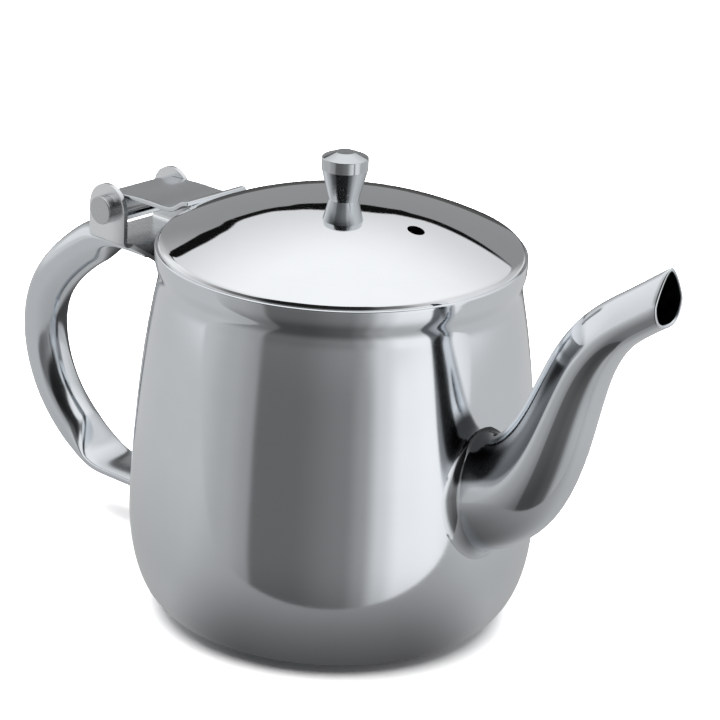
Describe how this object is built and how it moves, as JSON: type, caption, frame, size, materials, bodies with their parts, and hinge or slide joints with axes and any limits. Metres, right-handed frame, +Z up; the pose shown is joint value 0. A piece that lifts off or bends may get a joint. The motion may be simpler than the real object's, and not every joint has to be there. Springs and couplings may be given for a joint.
{
  "type": "teapot",
  "caption": "Stainless-steel teapot: drawn pot with a gooseneck spout, bent tube handle and a domed lid that swings on a riveted hinge over the handle.",
  "frame": {"origin": "middle of the flat base, on the surface the pot stands on", "axes": "+X to the spout, -X to the handle and hinge, +Z up; the hinge pin lies along Y"},
  "size_m": [0.2112, 0.1, 0.1177],
  "materials": {
    "pot_steel": "polished stainless sheet with very fine drawing lines",
    "satin_steel": "satin stainless tube and strip",
    "polished_steel": "bright polished stainless sheet",
    "turned_steel": "lathe-turned stainless with fine rings",
    "rivet_steel": "dull stainless fastener"
  },
  "bodies": {
    "pot": {"pot_body": "pot_steel", "spout": "pot_steel", "handle": "satin_steel", "hinge_bracket": "satin_steel", "hinge_rivet": "rivet_steel"},
    "lid": {"lid_shell": "polished_steel", "lid_leaf": "satin_steel", "lid_knob": "turned_steel", "knob_screw": "rivet_steel", "knob_washer": "rivet_steel"}
  },
  "joints": [
    {"name": "lid_hinge", "type": "hinge", "parent": "pot", "child": "lid", "pos_m": [-0.0703, 0, 0.0878], "axis": [0, -1, 0], "range_deg": [0, 110]}
  ]
}
